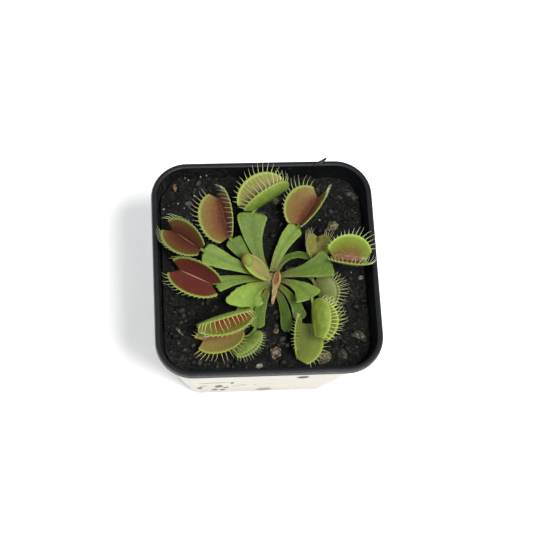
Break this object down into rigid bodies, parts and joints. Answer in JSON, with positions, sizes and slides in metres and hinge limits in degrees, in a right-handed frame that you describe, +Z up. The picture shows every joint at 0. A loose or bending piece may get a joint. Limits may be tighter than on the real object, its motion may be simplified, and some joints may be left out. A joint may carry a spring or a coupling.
{
  "type": "potted venus flytrap",
  "caption": "Rosette plant with toothed two-lobed snap traps on flat wedge-shaped stalks, growing in potting mix in a tapered square plastic nursery pot.",
  "frame": {"origin": "centre of the pot's base, on the surface it stands on", "axes": "+Z up, +X to the right along the pot's front wall, +Y towards its back wall"},
  "size_m": [0.085, 0.085, 0.0907],
  "materials": {
    "pot": "thin moulded sheet, black inside and on the lip, off-white outside",
    "soil": "damp dark potting mix",
    "leaf": "waxy leaf",
    "old_leaf": "waxy darker leaf",
    "red_trap": "waxy, red inside with a green rim",
    "orange_trap": "waxy, orange brown inside with a green rim",
    "green_trap": "waxy yellow green",
    "olive_trap": "waxy olive",
    "tan_trap": "waxy tan",
    "dried_leaf": "dry papery leaf",
    "bark": "rough bark",
    "stone": "rough stone"
  },
  "bodies": {
    "root": {"pot": "pot", "soil": "soil", "bark_chip_1": "bark", "stone_1": "stone", "stone_2": "stone", "stone_3": "bark", "stone_4": "stone", "bark_chip_2": "bark", "stone_5": "stone", "stone_6": "bark", "stone_7": "bark", "stone_8": "stone", "stone_9": "stone", "bark_chip_3": "bark", "bark_chip_4": "bark", "lip_chip": "bark", "crown": "leaf", "stalk_east": "leaf", "trap_east": "green_trap", "stalk_east_low": "old_leaf", "trap_east_low": "olive_trap", "stalk_north_east": "leaf", "trap_north_east": "orange_trap", "stalk_north": "leaf", "trap_north": "green_trap", "stalk_north_west": "leaf", "trap_north_west": "orange_trap", "stalk_west": "leaf", "trap_west": "red_trap", "stalk_west_low": "old_leaf", "trap_west_low": "red_trap", "stalk_south_west": "leaf", "trap_south_west": "red_trap", "stalk_south_west_low": "old_leaf", "trap_south_west_low": "tan_trap", "stalk_south_low": "old_leaf", "trap_south_low": "green_trap", "stalk_south": "old_leaf", "stalk_south_east": "old_leaf", "trap_south_east": "green_trap", "stalk_east_south_east": "leaf", "trap_east_south_east": "green_trap", "stalk_east_south_east_low": "old_leaf", "trap_east_south_east_low": "olive_trap", "young_leaf": "olive_trap", "dried_leaf": "dried_leaf"}
  },
  "joints": []
}
